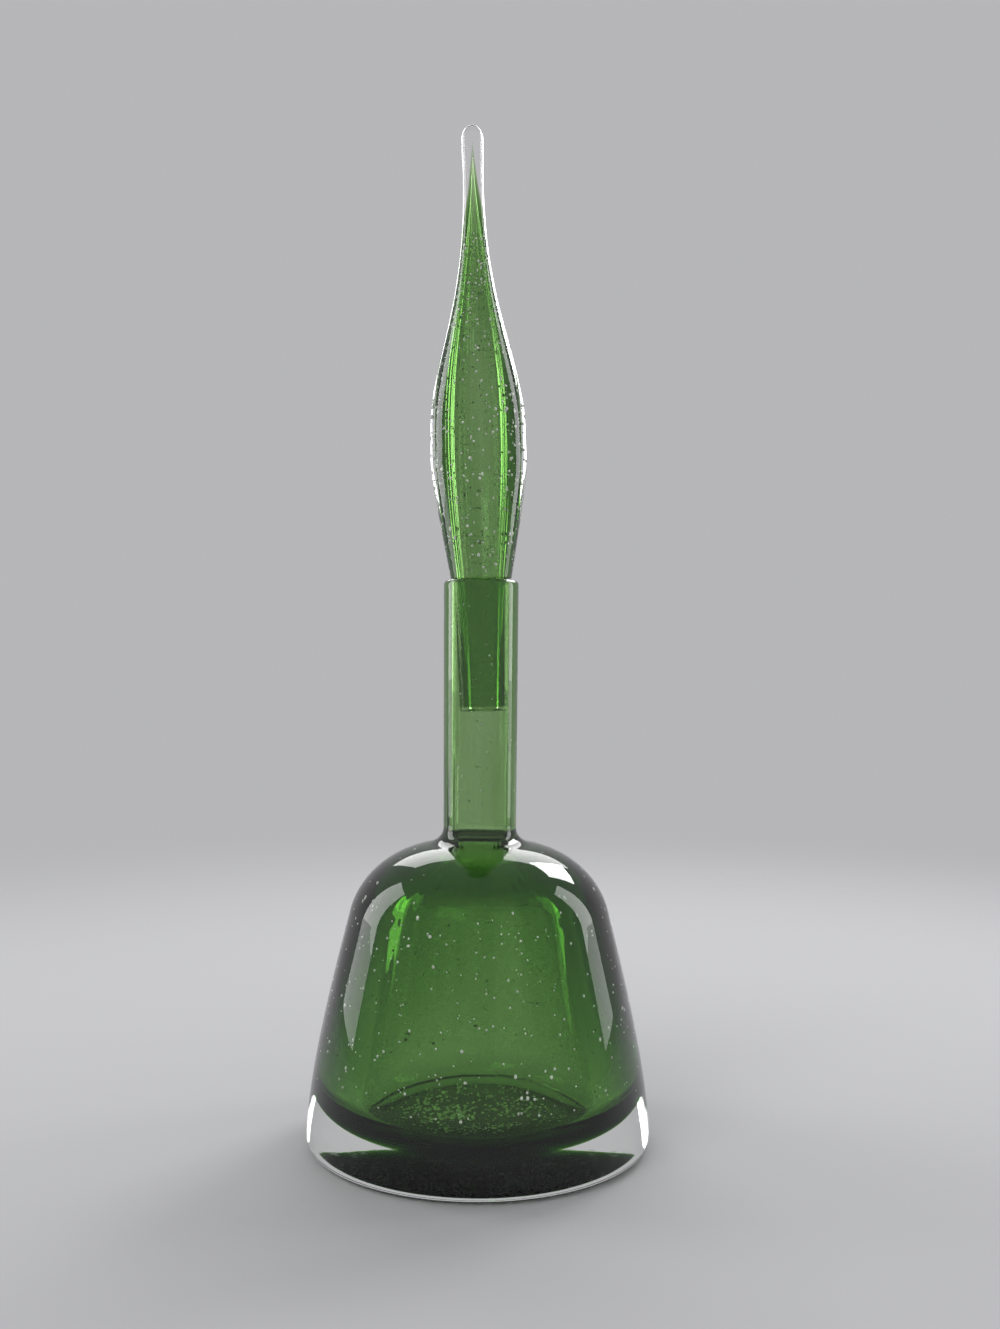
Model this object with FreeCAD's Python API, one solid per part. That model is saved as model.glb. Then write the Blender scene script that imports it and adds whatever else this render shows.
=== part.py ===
import FreeCAD, Part

import math
import os

# Sizes in millimetres. The bottle stands on z = 0 with its axis on Z.

# Bottle, outside
FOOT_RADIUS = 68.2
HEEL_REACH = 3.0
BODY_RADIUS = 73.3
HEEL_HEIGHT = 6.4
HEEL_UNDERCUT = 4.2
WALL_LOWER_PULL = 27.0
WALL_TOP_RADIUS = 55.9
WALL_TOP_HEIGHT = 98.4
WALL_TOP_LEAN = 0.24
WALL_UPPER_PULL = 10.5
SHOULDER_OUTER_PULL = 14.0
SHOULDER_INNER_PULL = 18.0
SHOULDER_RADIUS = 23.2
SHOULDER_HEIGHT = 127.6
SHOULDER_SLOPE = 12.0
NECK_RADIUS = 15.9
NECK_FOOT_HEIGHT = 134.8
NECK_FOOT_PULL = 4.2
LIP_RADIUS = 16.4
RIM_HEIGHT = 241.0
LIP_OUTER_ROUND = 2.2
LIP_INNER_ROUND = 0.9

# Bottle, inside
BORE_RADIUS = 12.0
CAVITY_FLOOR = 13.0
CAVITY_BASE_RADIUS = 51.0
CAVITY_FLOOR_ROUND = 10.0
CAVITY_TOP_RADIUS = 32.5
CAVITY_TOP_HEIGHT = 103.0
CAVITY_TOP_ROUND = 15.0
THROAT_HEIGHT = 115.0
THROAT_ROUND = 12.0

# Green layer of the bottle, between the cavity and the clear casing
LINING_NECK = 1.6
LINING_BODY = 3.0
LINING_FLOOR = 4.0

# Stopper, outside, with heights above its own seat
PLUG_CLEARANCE = 0.35
PLUG_LENGTH = 56.6
PLUG_HALF_ANGLE = 1.37
PLUG_END_ROUND = 0.6
SEAT_WIDTH = 1.2
COLLAR_RADIUS = 13.4
COLLAR_HEIGHT = 2.0
COLLAR_LEAN = 0.18
COLLAR_PULL = 53.0
BULB_RADIUS = 20.8
BULB_HEIGHT = 62.5
BULB_LOWER_PULL = 16.0
BULB_UPPER_PULL = 32.4
WAIST_RADIUS = 4.5
WAIST_HEIGHT = 171.5
WAIST_PULL = 57.4
TIP_RADIUS = 4.8
TIP_HEIGHT = 190.0
TIP_PULL = 8.0
STOPPER_HEIGHT = 195.8

# Stopper, inside: a blown cavity, open below and drawn out to a needle above
VENT_RADIUS = 5.6
VENT_PULL = 17.0
WAY_RADIUS = 8.2
WAY_LEAN = 0.085
WAY_PULL = 15.0
BLOW_RADIUS = 11.1
BLOW_HEIGHT = 58.0
BLOW_LOWER_PULL = 20.0
BLOW_UPPER_PULL = 48.0
NEEDLE_SHARE = 0.117
NEEDLE_PULL = 54.0
NEEDLE_HEIGHT = 184.0
STOPPER_LINING = 1.3
STOPPER_LINING_TIP = 6.0

# How the stopper rests: its seat on the lip, its end against one side of the bore
SEAT_GAP = 0.03
END_CLEARANCE = 0.2

# Sizes that follow from the ones above
PLUG_TOP_RADIUS = BORE_RADIUS - PLUG_CLEARANCE
PLUG_END_RADIUS = PLUG_TOP_RADIUS - PLUG_LENGTH * math.tan(math.radians(PLUG_HALF_ANGLE))
SEAT_RADIUS = PLUG_TOP_RADIUS + SEAT_WIDTH
LEAN = math.atan2(BORE_RADIUS - PLUG_END_RADIUS - END_CLEARANCE, PLUG_LENGTH)
SEAT_RISE = SEAT_GAP + (SEAT_RADIUS + LIP_INNER_ROUND) * math.sin(LEAN)


def at(radius, height):
    """A point of a profile in the XZ plane."""
    return FreeCAD.Vector(radius, 0, height)


def straight(start, end):
    return Part.makeLine(start, end)


def curve(*poles):
    """A Bezier edge."""
    bezier = Part.BezierCurve()
    bezier.setPoles(list(poles))
    return bezier.toShape()


def rounded(corners):
    """Straight edges through (radius, height, round) corners, with an arc at each corner that has a round."""
    edges = []
    last = at(*corners[0][:2])
    for before, corner, after in zip(corners, corners[1:], corners[2:]):
        point = at(*corner[:2])
        back = (at(*before[:2]) - point).normalize()
        ahead = (at(*after[:2]) - point).normalize()
        half = back.getAngle(ahead) / 2
        reach = corner[2] / math.tan(half)
        middle = (back + ahead).normalize() * (corner[2] / math.sin(half) - corner[2])
        arc_start = point + back * reach
        arc_end = point + ahead * reach
        edges.append(straight(last, arc_start))
        edges.append(Part.Arc(arc_start, point + middle, arc_end).toShape())
        last = arc_end
    edges.append(straight(last, at(*corners[-1][:2])))
    return edges


def turned(edges):
    """The solid swept by a closed profile turned once about the Z axis."""
    face = Part.Face(Part.Wire(edges))
    return face.revolve(at(0, 0), FreeCAD.Vector(0, 0, 1), 360)


def bottle_outside():
    """The whole bottle as one solid of glass, with no cavity."""
    slope = math.radians(SHOULDER_SLOPE)
    run = math.cos(slope)
    rise = math.sin(slope)
    heel = at(BODY_RADIUS, HEEL_HEIGHT)
    wall_top = at(WALL_TOP_RADIUS, WALL_TOP_HEIGHT)
    shoulder = at(SHOULDER_RADIUS, SHOULDER_HEIGHT)
    neck_foot = at(NECK_RADIUS, NECK_FOOT_HEIGHT)
    lip = rounded([
        (NECK_RADIUS, NECK_FOOT_HEIGHT, 0),
        (LIP_RADIUS, RIM_HEIGHT, LIP_OUTER_ROUND),
        (0, RIM_HEIGHT, 0),
    ])
    return turned([
        straight(at(0, 0), at(FOOT_RADIUS, 0)),
        curve(
            at(FOOT_RADIUS, 0),
            at(FOOT_RADIUS + HEEL_REACH, 0),
            at(BODY_RADIUS, HEEL_HEIGHT - HEEL_UNDERCUT),
            heel,
        ),
        curve(
            heel,
            at(BODY_RADIUS, HEEL_HEIGHT + WALL_LOWER_PULL),
            at(WALL_TOP_RADIUS + WALL_TOP_LEAN * WALL_UPPER_PULL, WALL_TOP_HEIGHT - WALL_UPPER_PULL),
            wall_top,
        ),
        curve(
            wall_top,
            at(WALL_TOP_RADIUS - WALL_TOP_LEAN * SHOULDER_OUTER_PULL, WALL_TOP_HEIGHT + SHOULDER_OUTER_PULL),
            at(SHOULDER_RADIUS + SHOULDER_INNER_PULL * run, SHOULDER_HEIGHT - SHOULDER_INNER_PULL * rise),
            shoulder,
        ),
        curve(
            shoulder,
            at(SHOULDER_RADIUS - NECK_FOOT_PULL * run, SHOULDER_HEIGHT + NECK_FOOT_PULL * rise),
            at(NECK_RADIUS, NECK_FOOT_HEIGHT - NECK_FOOT_PULL),
            neck_foot,
        ),
        *lip,
        straight(at(0, RIM_HEIGHT), at(0, 0)),
    ])


def bottle_hollow(neck=0.0, body=0.0, floor=0.0):
    """The space inside the bottle, or with thicknesses given the space its green layer fills up."""
    floor_height = CAVITY_FLOOR - floor
    corners = [
        (0, floor_height, 0),
        (CAVITY_BASE_RADIUS + body, floor_height, CAVITY_FLOOR_ROUND + body),
        (CAVITY_TOP_RADIUS + body, CAVITY_TOP_HEIGHT + body, CAVITY_TOP_ROUND + body),
        (BORE_RADIUS + neck, THROAT_HEIGHT + body, THROAT_ROUND - neck),
        (BORE_RADIUS + neck, RIM_HEIGHT, 0),
    ]
    return turned([
        *rounded(corners),
        straight(at(BORE_RADIUS + neck, RIM_HEIGHT), at(0, RIM_HEIGHT)),
        straight(at(0, RIM_HEIGHT), at(0, floor_height)),
    ])


def lip_relief():
    """The ring taken off where the bore meets the lip, so that the mouth has a round edge."""
    low = at(BORE_RADIUS, RIM_HEIGHT - LIP_INNER_ROUND)
    top = at(BORE_RADIUS + LIP_INNER_ROUND, RIM_HEIGHT)
    corner = at(BORE_RADIUS, RIM_HEIGHT)
    inset = LIP_INNER_ROUND * (1 - math.sqrt(0.5))
    return turned([
        Part.Arc(low, at(BORE_RADIUS + inset, RIM_HEIGHT - inset), top).toShape(),
        straight(top, corner),
        straight(corner, low),
    ])


def stopper_outside():
    """The whole stopper as one solid of glass, standing on its seat at z = 0."""
    collar = at(COLLAR_RADIUS, COLLAR_HEIGHT)
    bulb = at(BULB_RADIUS, BULB_HEIGHT)
    waist = at(WAIST_RADIUS, WAIST_HEIGHT)
    tip = at(TIP_RADIUS, TIP_HEIGHT)
    cap = (STOPPER_HEIGHT - TIP_HEIGHT) * 0.55
    plug = rounded([
        (0, -PLUG_LENGTH, 0),
        (PLUG_END_RADIUS, -PLUG_LENGTH, PLUG_END_ROUND),
        (PLUG_TOP_RADIUS, 0, PLUG_END_ROUND),
        (SEAT_RADIUS, 0, 0),
    ])
    return turned([
        *plug,
        curve(
            at(SEAT_RADIUS, 0),
            at((SEAT_RADIUS + COLLAR_RADIUS) / 2, 0),
            at(COLLAR_RADIUS - COLLAR_LEAN * COLLAR_HEIGHT / 2, COLLAR_HEIGHT / 2),
            collar,
        ),
        curve(
            collar,
            at(COLLAR_RADIUS + COLLAR_LEAN * COLLAR_PULL, COLLAR_HEIGHT + COLLAR_PULL),
            at(BULB_RADIUS, BULB_HEIGHT - BULB_LOWER_PULL),
            bulb,
        ),
        curve(
            bulb,
            at(BULB_RADIUS, BULB_HEIGHT + BULB_UPPER_PULL),
            at(WAIST_RADIUS, WAIST_HEIGHT - WAIST_PULL),
            waist,
        ),
        curve(
            waist,
            at(WAIST_RADIUS, WAIST_HEIGHT + TIP_PULL),
            at(TIP_RADIUS, TIP_HEIGHT - TIP_PULL),
            tip,
        ),
        curve(
            tip,
            at(TIP_RADIUS, TIP_HEIGHT + cap),
            at(TIP_RADIUS * 0.55, STOPPER_HEIGHT),
            at(0, STOPPER_HEIGHT),
        ),
        straight(at(0, STOPPER_HEIGHT), at(0, -PLUG_LENGTH)),
    ])


def stopper_hollow(wall=0.0, tip=0.0):
    """The cavity of the stopper, or with thicknesses given the space its green layer fills up."""
    vent = at(VENT_RADIUS + wall, -PLUG_LENGTH)
    way = at(WAY_RADIUS + wall, 0)
    blow = at(BLOW_RADIUS + wall, BLOW_HEIGHT)
    needle = at(0, NEEDLE_HEIGHT + tip)
    return turned([
        curve(
            vent,
            at(VENT_RADIUS + wall, VENT_PULL - PLUG_LENGTH),
            at(WAY_RADIUS + wall - WAY_LEAN * WAY_PULL, -WAY_PULL),
            way,
        ),
        curve(
            way,
            at(WAY_RADIUS + wall + WAY_LEAN * WAY_PULL, WAY_PULL),
            at(BLOW_RADIUS + wall, BLOW_HEIGHT - BLOW_LOWER_PULL),
            blow,
        ),
        curve(
            blow,
            at(BLOW_RADIUS + wall, BLOW_HEIGHT + BLOW_UPPER_PULL),
            at(NEEDLE_SHARE * BLOW_RADIUS + wall, NEEDLE_HEIGHT + tip - NEEDLE_PULL),
            needle,
        ),
        straight(needle, at(0, -PLUG_LENGTH)),
        straight(at(0, -PLUG_LENGTH), vent),
    ])


def seated(shape):
    """A piece of the stopper, leaned and set on the lip as it rests in the neck."""
    placed = shape.copy()
    placed.rotate(at(0, 0), FreeCAD.Vector(0, 1, 0), -math.degrees(LEAN))
    placed.translate(at(0, RIM_HEIGHT + SEAT_RISE))
    return placed


bottle_layer = bottle_hollow(LINING_NECK, LINING_BODY, LINING_FLOOR)
bottle_space = bottle_hollow().fuse(lip_relief())
stopper_layer = stopper_hollow(STOPPER_LINING, STOPPER_LINING_TIP)

pieces = {
    "bottle_casing": bottle_outside().cut(bottle_layer),
    "bottle_lining": bottle_layer.cut(bottle_space),
    "stopper_casing": seated(stopper_outside().cut(stopper_layer)),
    "stopper_lining": seated(stopper_layer.cut(stopper_hollow())),
}

os.makedirs("parts", exist_ok=True)
for name, piece in pieces.items():
    solid = piece.Solids[0]
    solid.exportStep(f"parts/{name}.step")
    print(name, len(piece.Solids), solid.isValid(), round(solid.Volume / 1000, 2), "cm3")
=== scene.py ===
import math
import random

import bmesh
import bpy
from mathutils import Matrix, Vector

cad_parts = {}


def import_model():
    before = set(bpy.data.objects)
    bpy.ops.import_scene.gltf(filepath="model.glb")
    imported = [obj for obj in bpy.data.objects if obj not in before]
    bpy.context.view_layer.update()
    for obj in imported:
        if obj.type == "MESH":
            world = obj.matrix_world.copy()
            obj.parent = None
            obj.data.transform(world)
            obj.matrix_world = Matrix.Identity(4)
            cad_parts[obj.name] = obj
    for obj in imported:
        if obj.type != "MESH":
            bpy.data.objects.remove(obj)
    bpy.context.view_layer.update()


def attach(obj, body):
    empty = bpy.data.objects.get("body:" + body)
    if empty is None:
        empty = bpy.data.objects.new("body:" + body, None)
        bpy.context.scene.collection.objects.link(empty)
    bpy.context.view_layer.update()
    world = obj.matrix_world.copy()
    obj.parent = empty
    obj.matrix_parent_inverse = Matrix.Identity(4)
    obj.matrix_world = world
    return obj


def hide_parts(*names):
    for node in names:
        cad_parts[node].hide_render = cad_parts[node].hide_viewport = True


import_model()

# Sizes of the glass in millimetres, the same as the solids'. piece() turns them into metres.
MM = 0.001

# Bottle, outside
FOOT_RADIUS = 68.2
HEEL_REACH = 3.0
BODY_RADIUS = 73.3
HEEL_HEIGHT = 6.4
HEEL_UNDERCUT = 4.2
WALL_LOWER_PULL = 27.0
WALL_TOP_RADIUS = 55.9
WALL_TOP_HEIGHT = 98.4
WALL_TOP_LEAN = 0.24
WALL_UPPER_PULL = 10.5
SHOULDER_OUTER_PULL = 14.0
SHOULDER_INNER_PULL = 18.0
SHOULDER_RADIUS = 23.2
SHOULDER_HEIGHT = 127.6
SHOULDER_SLOPE = math.radians(12.0)
NECK_RADIUS = 15.9
NECK_FOOT_HEIGHT = 134.8
NECK_FOOT_PULL = 4.2
LIP_RADIUS = 16.4
RIM_HEIGHT = 241.0
LIP_OUTER_ROUND = 2.2
LIP_INNER_ROUND = 0.9

# Bottle, inside
BORE_RADIUS = 12.0
CAVITY_FLOOR = 13.0
CAVITY_BASE_RADIUS = 51.0
CAVITY_FLOOR_ROUND = 10.0
CAVITY_TOP_RADIUS = 32.5
CAVITY_TOP_HEIGHT = 103.0
CAVITY_TOP_ROUND = 15.0
THROAT_HEIGHT = 115.0
THROAT_ROUND = 12.0
LINING_NECK = 1.6
LINING_BODY = 3.0
LINING_FLOOR = 4.0

# Stopper, with heights above its own seat
PLUG_CLEARANCE = 0.35
PLUG_LENGTH = 56.6
PLUG_HALF_ANGLE = math.radians(1.37)
PLUG_END_ROUND = 0.6
SEAT_WIDTH = 1.2
COLLAR_RADIUS = 13.4
COLLAR_HEIGHT = 2.0
COLLAR_LEAN = 0.18
COLLAR_PULL = 53.0
BULB_RADIUS = 20.8
BULB_HEIGHT = 62.5
BULB_LOWER_PULL = 16.0
BULB_UPPER_PULL = 32.4
WAIST_RADIUS = 4.5
WAIST_HEIGHT = 171.5
WAIST_PULL = 57.4
TIP_RADIUS = 4.8
TIP_HEIGHT = 190.0
TIP_PULL = 8.0
TIP_ROUND_SHARE = 0.55
STOPPER_HEIGHT = 195.8
VENT_RADIUS = 5.6
VENT_PULL = 17.0
WAY_RADIUS = 8.2
WAY_LEAN = 0.085
WAY_PULL = 15.0
BLOW_RADIUS = 11.1
BLOW_HEIGHT = 58.0
BLOW_LOWER_PULL = 20.0
BLOW_UPPER_PULL = 48.0
NEEDLE_SHARE = 0.117
NEEDLE_PULL = 54.0
NEEDLE_HEIGHT = 184.0
STOPPER_LINING = 1.3
STOPPER_LINING_TIP = 6.0
SEAT_GAP = 0.03
END_CLEARANCE = 0.2

PLUG_TOP_RADIUS = BORE_RADIUS - PLUG_CLEARANCE
PLUG_END_RADIUS = PLUG_TOP_RADIUS - PLUG_LENGTH * math.tan(PLUG_HALF_ANGLE)
SEAT_RADIUS = PLUG_TOP_RADIUS + SEAT_WIDTH
LEAN = math.atan2(BORE_RADIUS - PLUG_END_RADIUS - END_CLEARANCE, PLUG_LENGTH)
SEAT_RISE = SEAT_GAP + (SEAT_RADIUS + LIP_INNER_ROUND) * math.sin(LEAN)

# The green layer reaches this far into the hollow, so that its skin isn't on the glass's own
SKIN = 0.04

# Meshes turned on the axis: points around, the radius taken as the axis, and where waves reach full size
SEGMENTS = 216
ON_AXIS = 1e-6
SETTLE_RADIUS = 4

# Waves of the skin: turns and share of each swell, turns of each cord, and the most drift in a millimetre
SWELLS = ((2, 0.42), (3, 0.3), (5, 0.18), (8, 0.1))
SWELL_DRIFT = 0.035
CORDS = (13, 19, 27, 34, 43)
CORD_SHARE = (0.5, 1.0)
CORD_DRIFT = 0.012

# Seeds in a wall: glass kept on each side of one, and how sizes vary
INNER_COVER = 0.15
OUTER_COVER = 0.4
SEED_MIX = (0.6, 0.8, 1, 1, 1.3)
BODY_SEEDS = {"count": 420, "low": 26, "high": 104, "sizes": (0.24, 0.5), "stretch": (0.9, 1.5)}
SHOULDER_SEEDS = {
    "count": 130, "low": 30, "high": 124, "sizes": (0.18, 0.36), "stretch": (0.8, 1.3), "crowd": 0.4,
}
NECK_SEEDS = {"count": 60, "low": 136, "high": 236, "sizes": (0.18, 0.32), "stretch": (1.0, 2.2)}
BULB_SEEDS = {"count": 760, "low": 2, "high": 150, "sizes": (0.28, 0.54), "stretch": (0.9, 1.6)}
PLUG_SEEDS = {"count": 40, "low": -52, "high": -2, "sizes": (0.14, 0.26), "stretch": (1.0, 2.0)}

# Seeds on the cavity floor, in heaps. A seed's centre lies under the floor by its size times the sink.
FLOOR_SEEDS = 520
FLOOR_HEAPS = 24
FLOOR_HEAP_REACH = 34
FLOOR_HEAP_SPREAD = (4, 9)
FLOOR_SEED_SIZES = (0.36, 0.8)
FLOOR_SEED_SINK = (-0.2, 0.6)
FLOOR_SEED_STRETCH = (0.7, 1.0)

# Green glass: the colour that it lets through, and how strongly each layer takes up the rest
GREEN = (0.6, 0.77, 0.47, 1)
BOTTLE_DENSITY = 950
STOPPER_DENSITY = 1450

# Floor and backdrop, in metres
FLOOR_COLOUR = (0.4, 0.4, 0.41, 1)
BACKDROP_COLOUR = (0.47, 0.47, 0.48, 1)
FLOOR_RADIUS = 4.0
FLOOR_DROP = 0.0003
FADE_START = 0.25
FADE_END = 1.1

# Camera, in metres, with its roll in degrees and its lens in millimetres
CAMERA_PLACE = (0.0083, -0.578, 0.2047)
CAMERA_ROLL = -0.36
CAMERA_LENS = 36.3
CAMERA_SENSOR = 36.0

# Glass surfaces that a path of light may cross
BOUNCES = 32


def bezier(start, pull_start, pull_end, end, count=28):
    """Points of a cubic curve, the first left out."""
    points = []
    for step in range(1, count + 1):
        t = step / count
        s = 1 - t
        points.append(tuple(
            s ** 3 * a + 3 * s * s * t * b + 3 * s * t * t * c + t ** 3 * d
            for a, b, c, d in zip(start, pull_start, pull_end, end)
        ))
    return points


def line(start, end, spacing=2.0):
    """Points of a straight run, the first left out."""
    count = max(1, round(math.dist(start, end) / spacing))
    return [
        tuple(a + (b - a) * step / count for a, b in zip(start, end))
        for step in range(1, count + 1)
    ]


def rounded(corners, count=14):
    """Points of straight runs through (radius, height, round) corners, the first left out."""
    points = []
    last = corners[0][:2]
    for before, corner, after in zip(corners, corners[1:], corners[2:]):
        point = Vector(corner[:2])
        back = (Vector(before[:2]) - point).normalized()
        ahead = (Vector(after[:2]) - point).normalized()
        half = back.angle(ahead) / 2
        centre = point + (back + ahead).normalized() * corner[2] / math.sin(half)
        arc_start = point + back * corner[2] / math.tan(half)
        arc_end = point + ahead * corner[2] / math.tan(half)
        turn = (arc_start - centre).angle_signed(arc_end - centre)
        points += line(last, tuple(arc_start))
        for step in range(1, count + 1):
            spin = Matrix.Rotation(-turn * step / count, 2)
            points.append(tuple(centre + spin @ (arc_start - centre)))
        last = tuple(arc_end)
    return points + line(last, corners[-1][:2])


def bottle_outside():
    """Outline from the middle of the foot to the top of the lip."""
    run = math.cos(SHOULDER_SLOPE)
    rise = math.sin(SHOULDER_SLOPE)
    foot = (FOOT_RADIUS, 0)
    heel = (BODY_RADIUS, HEEL_HEIGHT)
    wall_top = (WALL_TOP_RADIUS, WALL_TOP_HEIGHT)
    shoulder = (SHOULDER_RADIUS, SHOULDER_HEIGHT)
    neck_foot = (NECK_RADIUS, NECK_FOOT_HEIGHT)
    points = [(0, 0)] + line((0, 0), foot, spacing=4.0)
    points += bezier(
        foot,
        (FOOT_RADIUS + HEEL_REACH, 0),
        (BODY_RADIUS, HEEL_HEIGHT - HEEL_UNDERCUT),
        heel,
        count=16,
    )
    points += bezier(
        heel,
        (BODY_RADIUS, HEEL_HEIGHT + WALL_LOWER_PULL),
        (WALL_TOP_RADIUS + WALL_TOP_LEAN * WALL_UPPER_PULL, WALL_TOP_HEIGHT - WALL_UPPER_PULL),
        wall_top,
        count=44,
    )
    points += bezier(
        wall_top,
        (WALL_TOP_RADIUS - WALL_TOP_LEAN * SHOULDER_OUTER_PULL, WALL_TOP_HEIGHT + SHOULDER_OUTER_PULL),
        (SHOULDER_RADIUS + SHOULDER_INNER_PULL * run, SHOULDER_HEIGHT - SHOULDER_INNER_PULL * rise),
        shoulder,
        count=36,
    )
    points += bezier(
        shoulder,
        (SHOULDER_RADIUS - NECK_FOOT_PULL * run, SHOULDER_HEIGHT + NECK_FOOT_PULL * rise),
        (NECK_RADIUS, NECK_FOOT_HEIGHT - NECK_FOOT_PULL),
        neck_foot,
        count=16,
    )
    return points + rounded([
        (NECK_RADIUS, NECK_FOOT_HEIGHT, 0),
        (LIP_RADIUS, RIM_HEIGHT, LIP_OUTER_ROUND),
        (BORE_RADIUS + LIP_INNER_ROUND, RIM_HEIGHT, 0),
    ])


def bottle_inside(neck=0.0, body=0.0, floor=0.0, drop=0.0):
    """Outline from the mouth down to the middle of the floor. Thicknesses move it out into the glass."""
    height = CAVITY_FLOOR - floor
    bore = BORE_RADIUS + neck
    corners = [
        (bore + LIP_INNER_ROUND, RIM_HEIGHT - drop, 0),
        (bore, RIM_HEIGHT - drop, LIP_INNER_ROUND),
        (bore, THROAT_HEIGHT + body, THROAT_ROUND - neck),
        (CAVITY_TOP_RADIUS + body, CAVITY_TOP_HEIGHT + body, CAVITY_TOP_ROUND + body),
        (CAVITY_BASE_RADIUS + body, height, CAVITY_FLOOR_ROUND + body),
        (0, height, 0),
    ]
    return rounded(corners)


def stopper_outside():
    """Outline from the tip down to the round edge of the plug's end."""
    cap = (STOPPER_HEIGHT - TIP_HEIGHT) * TIP_ROUND_SHARE
    top = (0, STOPPER_HEIGHT)
    tip = (TIP_RADIUS, TIP_HEIGHT)
    waist = (WAIST_RADIUS, WAIST_HEIGHT)
    bulb = (BULB_RADIUS, BULB_HEIGHT)
    collar = (COLLAR_RADIUS, COLLAR_HEIGHT)
    seat = (SEAT_RADIUS, 0)
    points = [top]
    points += bezier(
        top,
        (TIP_RADIUS * TIP_ROUND_SHARE, STOPPER_HEIGHT),
        (TIP_RADIUS, TIP_HEIGHT + cap),
        tip,
        count=14,
    )
    points += bezier(
        tip,
        (TIP_RADIUS, TIP_HEIGHT - TIP_PULL),
        (WAIST_RADIUS, WAIST_HEIGHT + TIP_PULL),
        waist,
        count=14,
    )
    points += bezier(
        waist,
        (WAIST_RADIUS, WAIST_HEIGHT - WAIST_PULL),
        (BULB_RADIUS, BULB_HEIGHT + BULB_UPPER_PULL),
        bulb,
        count=56,
    )
    points += bezier(
        bulb,
        (BULB_RADIUS, BULB_HEIGHT - BULB_LOWER_PULL),
        (COLLAR_RADIUS + COLLAR_LEAN * COLLAR_PULL, COLLAR_HEIGHT + COLLAR_PULL),
        collar,
        count=36,
    )
    points += bezier(
        collar,
        (COLLAR_RADIUS - COLLAR_LEAN * COLLAR_HEIGHT / 2, COLLAR_HEIGHT / 2),
        ((SEAT_RADIUS + COLLAR_RADIUS) / 2, 0),
        seat,
        count=10,
    )
    return points + rounded([
        (SEAT_RADIUS, 0, 0),
        (PLUG_TOP_RADIUS, 0, PLUG_END_ROUND),
        (PLUG_END_RADIUS, -PLUG_LENGTH, PLUG_END_ROUND),
        (VENT_RADIUS, -PLUG_LENGTH, 0),
    ], count=8)


def stopper_inside(wall=0.0, tip=0.0):
    """Outline from the open end of the plug up to the point of the needle."""
    vent = (VENT_RADIUS + wall, -PLUG_LENGTH)
    way = (WAY_RADIUS + wall, 0)
    blow = (BLOW_RADIUS + wall, BLOW_HEIGHT)
    needle = (0, NEEDLE_HEIGHT + tip)
    points = bezier(
        vent,
        (VENT_RADIUS + wall, VENT_PULL - PLUG_LENGTH),
        (WAY_RADIUS + wall - WAY_LEAN * WAY_PULL, -WAY_PULL),
        way,
    )
    points += bezier(
        way,
        (WAY_RADIUS + wall + WAY_LEAN * WAY_PULL, WAY_PULL),
        (BLOW_RADIUS + wall, BLOW_HEIGHT - BLOW_LOWER_PULL),
        blow,
    )
    return points + bezier(
        blow,
        (BLOW_RADIUS + wall, BLOW_HEIGHT + BLOW_UPPER_PULL),
        (NEEDLE_SHARE * BLOW_RADIUS + wall, NEEDLE_HEIGHT + tip - NEEDLE_PULL),
        needle,
        count=64,
    )


# Where the stopper stands: from its own seat to the row's frame, in millimetres
SEAT_PLACE = Matrix.Translation((0, 0, RIM_HEIGHT + SEAT_RISE)) @ Matrix.Rotation(-LEAN, 4, "Y")


def smooth(low, high, value):
    """0 at low and 1 at high, with a soft start and end."""
    t = min(max((value - low) / (high - low), 0), 1)
    return t * t * (3 - 2 * t)


class Wave:
    """The uneven skin of hand-worked glass: broad swells that drift up the piece, and fine cords."""

    def __init__(self, seed, swell, cord, fades, inward=False):
        rng = random.Random(seed)
        self.fades = fades
        self.inward = inward
        self.swells = [
            (k, swell * share, rng.uniform(0, 2 * math.pi), rng.uniform(-SWELL_DRIFT, SWELL_DRIFT))
            for k, share in SWELLS
        ]
        self.cords = [
            (
                k,
                cord * rng.uniform(*CORD_SHARE),
                rng.uniform(0, 2 * math.pi),
                rng.uniform(-CORD_DRIFT, CORD_DRIFT),
            )
            for k in CORDS
        ]
        self.most = sum(abs(part[1]) for part in self.swells + self.cords)

    def at(self, turn, height):
        """How far the skin lies off its outline, in millimetres."""
        shift = sum(
            size * math.cos(k * turn + start + drift * height)
            for k, size, start, drift in self.swells + self.cords
        )
        if self.inward:
            shift -= self.most
        return shift * math.prod(smooth(none, full, height) for none, full in self.fades)


def lathe(name, runs, place=None):
    """A mesh turned about the axis from (outline, wave) runs, one after the other.

    The runs go up where the glass faces out and down where it faces the hollow.
    """
    verts = []
    rings = []
    for outline, wave in runs:
        for radius, height in outline:
            if radius < ON_AXIS:
                rings.append([len(verts)])
                verts.append(Vector((0, 0, height)))
                continue
            rings.append(list(range(len(verts), len(verts) + SEGMENTS)))
            settle = smooth(0, SETTLE_RADIUS, radius)
            for k in range(SEGMENTS):
                turn = 2 * math.pi * k / SEGMENTS
                reach = radius + settle * wave.at(turn, height)
                verts.append(Vector((reach * math.cos(turn), reach * math.sin(turn), height)))
    faces = []
    for low, high in zip(rings, rings[1:]):
        for k in range(SEGMENTS):
            after = (k + 1) % SEGMENTS
            if len(low) == 1:
                faces.append((low[0], high[after], high[k]))
            elif len(high) == 1:
                faces.append((low[k], low[after], high[0]))
            else:
                faces.append((low[k], low[after], high[after], high[k]))
    return piece(name, verts, faces, place)


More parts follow.
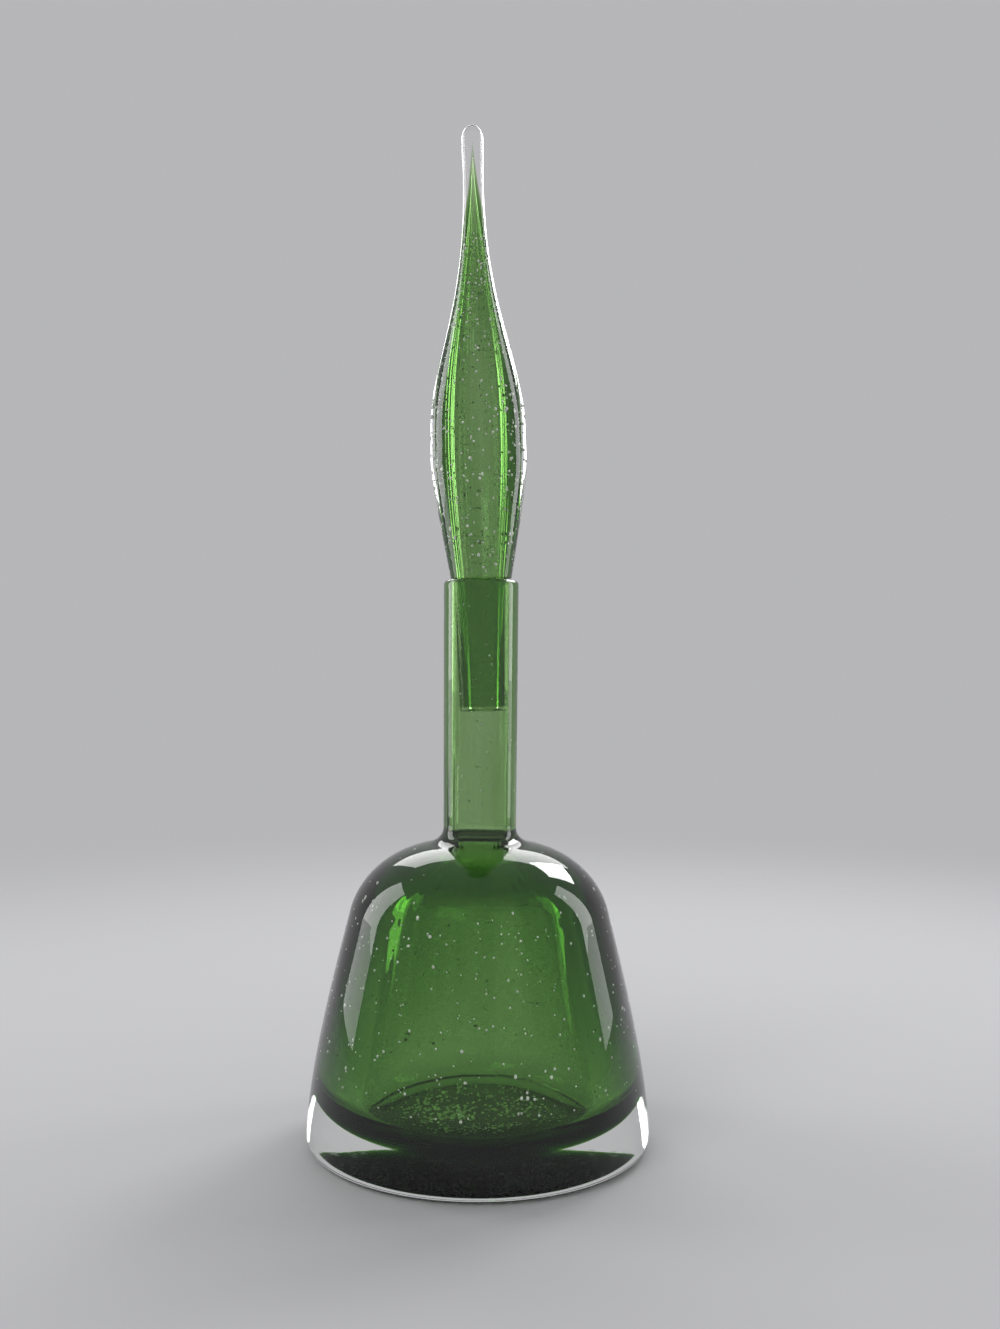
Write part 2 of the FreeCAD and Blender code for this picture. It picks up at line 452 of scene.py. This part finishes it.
def piece(name, verts, faces, place):
    """A smooth mesh object from points in millimetres, moved to where it stands."""
    mesh = bpy.data.meshes.new(name)
    mesh.from_pydata([(place @ v if place else v) * MM for v in verts], [], faces)
    mesh.polygons.foreach_set("use_smooth", [True] * len(mesh.polygons))
    obj = bpy.data.objects.new(name, mesh)
    bpy.context.scene.collection.objects.link(obj)
    return obj


def ball():
    """Points and faces of a small round ball of radius 1."""
    solid = bmesh.new()
    bmesh.ops.create_icosphere(solid, subdivisions=2, radius=1)
    points = [tuple(v.co) for v in solid.verts]
    faces = [tuple(v.index for v in face.verts) for face in solid.faces]
    solid.free()
    return points, faces


SEED_POINTS, SEED_FACES = ball()


def scatter(name, seeds, place=None):
    """One mesh of many small seeds, given as (centre, size, stretch)."""
    verts = []
    faces = []
    for centre, size, stretch in seeds:
        first = len(verts)
        verts += [centre + Vector((x * size, y * size, z * size * stretch)) for x, y, z in SEED_POINTS]
        faces += [tuple(first + k for k in face) for face in SEED_FACES]
    return piece(name, verts, faces, place)


def shader(material):
    """A material's node tree and its surface shader."""
    material.use_nodes = True
    tree = material.node_tree
    return tree, tree.nodes["Principled BSDF"]


def clear_glass():
    """Colourless casing: faint ripples all over, and fine scuffs on the face it stands on."""
    material = bpy.data.materials.new("clear_glass")
    tree, glass = shader(material)
    glass.inputs["Base Color"].default_value = (1, 1, 1, 1)
    glass.inputs["IOR"].default_value = 1.5
    glass.inputs["Transmission Weight"].default_value = 1.0
    place = tree.nodes.new("ShaderNodeTexCoord")
    ripple = tree.nodes.new("ShaderNodeTexNoise")
    ripple.inputs["Scale"].default_value = 55.0
    ripple.inputs["Detail"].default_value = 2.0
    bump = tree.nodes.new("ShaderNodeBump")
    bump.inputs["Strength"].default_value = 0.07
    bump.inputs["Distance"].default_value = 0.0004
    axes = tree.nodes.new("ShaderNodeSeparateXYZ")
    foot = tree.nodes.new("ShaderNodeMapRange")
    foot.inputs["From Min"].default_value = 0.0002
    foot.inputs["From Max"].default_value = 0.0016
    foot.inputs["To Min"].default_value = 1.0
    foot.inputs["To Max"].default_value = 0.0
    scuff = tree.nodes.new("ShaderNodeTexNoise")
    scuff.inputs["Scale"].default_value = 260.0
    scuff.inputs["Detail"].default_value = 5.0
    worn = tree.nodes.new("ShaderNodeMapRange")
    worn.inputs["From Min"].default_value = 0.5
    worn.inputs["From Max"].default_value = 0.75
    worn.inputs["To Max"].default_value = 0.16
    rough = tree.nodes.new("ShaderNodeMath")
    rough.operation = "MULTIPLY"
    tree.links.new(place.outputs["Object"], ripple.inputs["Vector"])
    tree.links.new(ripple.outputs["Fac"], bump.inputs["Height"])
    tree.links.new(bump.outputs["Normal"], glass.inputs["Normal"])
    tree.links.new(place.outputs["Object"], axes.inputs["Vector"])
    tree.links.new(axes.outputs["Z"], foot.inputs["Value"])
    tree.links.new(place.outputs["Object"], scuff.inputs["Vector"])
    tree.links.new(scuff.outputs["Fac"], worn.inputs["Value"])
    tree.links.new(foot.outputs["Result"], rough.inputs[0])
    tree.links.new(worn.outputs["Result"], rough.inputs[1])
    tree.links.new(rough.outputs["Value"], glass.inputs["Roughness"])
    return material


def seed_painted_glint():
    """Pale seeds, each a little lighter or greener than the next: the pale colour is a painted glint,
    standing for the light that the real bubbles catch.
    """
    material = bpy.data.materials.new("seed_painted_glint")
    tree, surface = shader(material)
    place = tree.nodes.new("ShaderNodeTexCoord")
    mottle = tree.nodes.new("ShaderNodeTexNoise")
    mottle.inputs["Scale"].default_value = 900.0
    # Painted glint: light and greener tones that stand for the bubbles catching the light
    shade = tree.nodes.new("ShaderNodeValToRGB")
    shade.color_ramp.elements[0].position = 0.35
    shade.color_ramp.elements[0].color = (0.82, 0.93, 0.72, 1)
    shade.color_ramp.elements[1].position = 0.65
    shade.color_ramp.elements[1].color = (0.98, 0.99, 0.95, 1)
    surface.inputs["Roughness"].default_value = 0.25
    tree.links.new(place.outputs["Object"], mottle.inputs["Vector"])
    tree.links.new(mottle.outputs["Fac"], shade.inputs["Fac"])
    tree.links.new(shade.outputs["Color"], surface.inputs["Base Color"])
    return material


def green_glass(name, density):
    """The green layer, which only takes up light. The casing around it bends the light."""
    material = bpy.data.materials.new(name)
    tree, glass = shader(material)
    glass.inputs["Base Color"].default_value = (1, 1, 1, 1)
    glass.inputs["Roughness"].default_value = 0.0
    glass.inputs["IOR"].default_value = 1.0
    glass.inputs["Transmission Weight"].default_value = 1.0
    tint = tree.nodes.new("ShaderNodeVolumeAbsorption")
    tint.inputs["Color"].default_value = GREEN
    tint.inputs["Density"].default_value = density
    tree.links.new(tint.outputs["Volume"], tree.nodes["Material Output"].inputs["Volume"])
    return material


def radius_at(outline, height):
    """Radius of an outline's first crossing of a height."""
    for (r0, z0), (r1, z1) in zip(outline, outline[1:]):
        if min(z0, z1) <= height <= max(z0, z1) and z0 != z1:
            return r0 + (r1 - r0) * (height - z0) / (z1 - z0)
    return 0


def wall_seeds(rng, inner, outer, count, low, high, sizes, stretch, crowd=3):
    """Seeds caught in a wall. A crowd above 1 gathers them near the inner side of it."""
    found = []
    while len(found) < count:
        height = rng.uniform(low, high)
        size = rng.uniform(*sizes) * rng.choice(SEED_MIX)
        near = radius_at(inner, height) + size + INNER_COVER
        far = radius_at(outer, height) - size - OUTER_COVER
        turn = rng.uniform(0, 2 * math.pi)
        lift = rng.random() ** crowd
        if far <= near:
            continue
        radius = near + (far - near) * lift
        found.append((
            Vector((radius * math.cos(turn), radius * math.sin(turn), height)),
            size,
            rng.uniform(*stretch),
        ))
    return found


def floor_seeds(rng, count):
    """The crowd of seeds on the floor of the cavity, which stand partly out of it."""
    heaps = []
    for _ in range(FLOOR_HEAPS):
        radius = FLOOR_HEAP_REACH * math.sqrt(rng.random())
        turn = rng.uniform(0, 2 * math.pi)
        heaps.append((radius, turn, rng.uniform(*FLOOR_HEAP_SPREAD)))
    found = []
    while len(found) < count:
        radius, turn, spread = rng.choice(heaps)
        x = radius * math.cos(turn) + rng.gauss(0, spread)
        y = radius * math.sin(turn) + rng.gauss(0, spread)
        size = rng.uniform(*FLOOR_SEED_SIZES)
        if math.hypot(x, y) < CAVITY_BASE_RADIUS - CAVITY_FLOOR_ROUND:
            height = CAVITY_FLOOR - size * rng.uniform(*FLOOR_SEED_SINK)
            found.append((Vector((x, y, height)), size, rng.uniform(*FLOOR_SEED_STRETCH)))
    return found


bottle_skin = bottle_outside()
bottle_hollow = bottle_inside()
bottle_joint = bottle_inside(LINING_NECK, LINING_BODY, LINING_FLOOR, LIP_INNER_ROUND)
stopper_skin = stopper_outside()
stopper_hollow = stopper_inside()
stopper_joint = stopper_inside(STOPPER_LINING, STOPPER_LINING_TIP)

# Each wave dies out where the glass has to be true: the foot, the floor, the mouth and the plug.
# A fade runs from the height where there is none of the wave to the height where there is all of it.
BOTTLE_OUT = Wave(seed=11, swell=0.16, cord=0.0, fades=[(0, 12)], inward=True)
BOTTLE_IN = Wave(seed=12, swell=0.5, cord=0.035, fades=[(178, 150), (32, 70)])
BOTTLE_MID = Wave(seed=13, swell=0.35, cord=0.05, fades=[(200, 150), (32, 70)])
STOPPER_OUT = Wave(seed=14, swell=0.12, cord=0.0, fades=[(4, 24)], inward=True)
STOPPER_IN = Wave(seed=15, swell=0.28, cord=0.03, fades=[(-50, -10)])
STOPPER_MID = Wave(seed=16, swell=0.14, cord=0.02, fades=[(-50, -10)])

dice = random.Random(7)
bottle_seeds = floor_seeds(dice, FLOOR_SEEDS)
bottle_seeds += wall_seeds(dice, bottle_joint[::-1], bottle_skin, **BODY_SEEDS)
bottle_seeds += wall_seeds(dice, bottle_joint[::-1], bottle_skin, **SHOULDER_SEEDS)
bottle_seeds += wall_seeds(dice, bottle_joint, bottle_skin, **NECK_SEEDS)
stopper_seeds = wall_seeds(dice, stopper_joint, stopper_skin, **BULB_SEEDS)
stopper_seeds += wall_seeds(dice, stopper_joint, stopper_skin, **PLUG_SEEDS)

bottle_casing = lathe(
    "bottle_glass",
    [(bottle_skin, BOTTLE_OUT), (bottle_hollow, BOTTLE_IN)],
)
bottle_lining = lathe(
    "bottle_green",
    [
        (bottle_joint[::-1], BOTTLE_MID),
        (bottle_inside(-SKIN, -SKIN, -SKIN, LIP_INNER_ROUND), BOTTLE_IN),
    ],
)
stopper_casing = lathe(
    "stopper_glass",
    [(stopper_hollow[::-1], STOPPER_IN), (stopper_skin[::-1], STOPPER_OUT)],
    SEAT_PLACE,
)
stopper_lining = lathe(
    "stopper_green",
    [(stopper_inside(-SKIN, -SKIN)[::-1], STOPPER_IN), (stopper_joint, STOPPER_MID)],
    SEAT_PLACE,
)

bottle_specks = scatter("bottle_seeds", bottle_seeds)
stopper_specks = scatter("stopper_seeds", stopper_seeds, SEAT_PLACE)

CLEAR = clear_glass()
# The seeds' pale colour is a painted glint of the bubbles in the glass
SEED_PAINTED_GLINT = seed_painted_glint()
BOTTLE_GREEN = green_glass("bottle_green", BOTTLE_DENSITY)
STOPPER_GREEN = green_glass("stopper_green", STOPPER_DENSITY)
for obj, node, body, slot, material in (
    (bottle_casing, "bottle_casing", "bottle", "clear_glass", CLEAR),
    (bottle_lining, "bottle_lining", "bottle", "green_glass", BOTTLE_GREEN),
    (stopper_casing, "stopper_casing", "stopper", "clear_glass", CLEAR),
    (stopper_lining, "stopper_lining", "stopper", "green_glass", STOPPER_GREEN),
):
    obj.data.materials.append(material)
    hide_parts(node)
    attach(obj, body)
# The seeds get the pale material, a painted glint of the bubbles
for obj, body in ((bottle_specks, "bottle"), (stopper_specks, "stopper")):
    obj.data.materials.append(SEED_PAINTED_GLINT)
    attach(obj, body)


def floor():
    """A plain pale floor that fades into the background far out."""
    mesh = bpy.data.meshes.new("floor")
    solid = bmesh.new()
    bmesh.ops.create_circle(solid, cap_ends=True, segments=96, radius=FLOOR_RADIUS)
    solid.to_mesh(mesh)
    solid.free()
    obj = bpy.data.objects.new("floor", mesh)
    obj.location.z = -FLOOR_DROP
    bpy.context.scene.collection.objects.link(obj)
    material = bpy.data.materials.new("floor_pale")
    tree, surface = shader(material)
    surface.inputs["Base Color"].default_value = FLOOR_COLOUR
    surface.inputs["Roughness"].default_value = 0.9
    surface.inputs["Specular IOR Level"].default_value = 0.1
    place = tree.nodes.new("ShaderNodeTexCoord")
    reach = tree.nodes.new("ShaderNodeVectorMath")
    reach.operation = "LENGTH"
    fade = tree.nodes.new("ShaderNodeMapRange")
    fade.interpolation_type = "SMOOTHSTEP"
    fade.inputs["From Min"].default_value = FADE_START
    fade.inputs["From Max"].default_value = FADE_END
    fade.inputs["To Min"].default_value = 1.0
    fade.inputs["To Max"].default_value = 0.0
    tree.links.new(place.outputs["Object"], reach.inputs[0])
    tree.links.new(reach.outputs["Value"], fade.inputs["Value"])
    tree.links.new(fade.outputs["Result"], surface.inputs["Alpha"])
    obj.data.materials.append(material)


floor()


def world():
    """An even pale background, which lights the glass from all round."""
    backdrop = bpy.data.worlds.new("studio")
    bpy.context.scene.world = backdrop
    backdrop.use_nodes = True
    tree = backdrop.node_tree
    plain = tree.nodes["Background"]
    plain.inputs["Color"].default_value = BACKDROP_COLOUR
    plain.inputs["Strength"].default_value = 1.0


world()


def softbox(name, place, aim, size, power):
    """A soft rectangular lamp, in metres and watts."""
    lamp = bpy.data.lights.new(name, "AREA")
    lamp.shape = "RECTANGLE"
    lamp.size, lamp.size_y = size
    lamp.energy = power
    obj = bpy.data.objects.new(name, lamp)
    obj.location = place
    obj.rotation_euler = (Vector(aim) - Vector(place)).to_track_quat("-Z", "Y").to_euler()
    bpy.context.scene.collection.objects.link(obj)
    return obj


# The key and the shoulder lamp don't show through the glass, and the fill isn't mirrored in it.
# The side strips are dimmer at the low end, which shows through the body.
key_light = softbox("key", place=(0.75, 0.95, 1.05), aim=(0, 0, 0.15), size=(0.5, 0.5), power=9)
key_light.visible_transmission = False
fill_light = softbox("fill", place=(-0.65, -1.0, 1.05), aim=(0, 0, 0.2), size=(0.8, 0.8), power=8)
fill_light.visible_glossy = False
softbox("edge_left", place=(-0.95, 0.3, 0.6), aim=(0, 0, 0.58), size=(0.42, 0.84), power=4.03)
softbox("edge_right", place=(0.96, 0.3, 0.6), aim=(0, 0, 0.58), size=(0.3, 0.84), power=2.86)
softbox("low_left", place=(-0.95, 0.3, 0.1), aim=(0, 0, 0.08), size=(0.42, 0.16), power=0.38)
softbox("low_right", place=(0.96, 0.3, 0.1), aim=(0, 0, 0.08), size=(0.3, 0.16), power=0.27)
shoulder_light = softbox("shoulder", place=(0, 1.1, 1.0), aim=(0, 0, 0.13), size=(1.4, 0.62), power=10)
shoulder_light.visible_transmission = False

camera = bpy.data.objects.new("camera", bpy.data.cameras.new("camera"))
camera.location = CAMERA_PLACE
camera.rotation_euler = (math.pi / 2, math.radians(CAMERA_ROLL), 0)
camera.data.lens = CAMERA_LENS
camera.data.sensor_width = CAMERA_SENSOR
bpy.context.scene.collection.objects.link(camera)
bpy.context.scene.camera = camera

bpy.context.scene.view_settings.view_transform = "Standard"
bpy.context.scene.cycles.max_bounces = BOUNCES
bpy.context.scene.cycles.transmission_bounces = BOUNCES
bpy.context.scene.cycles.transparent_max_bounces = BOUNCES
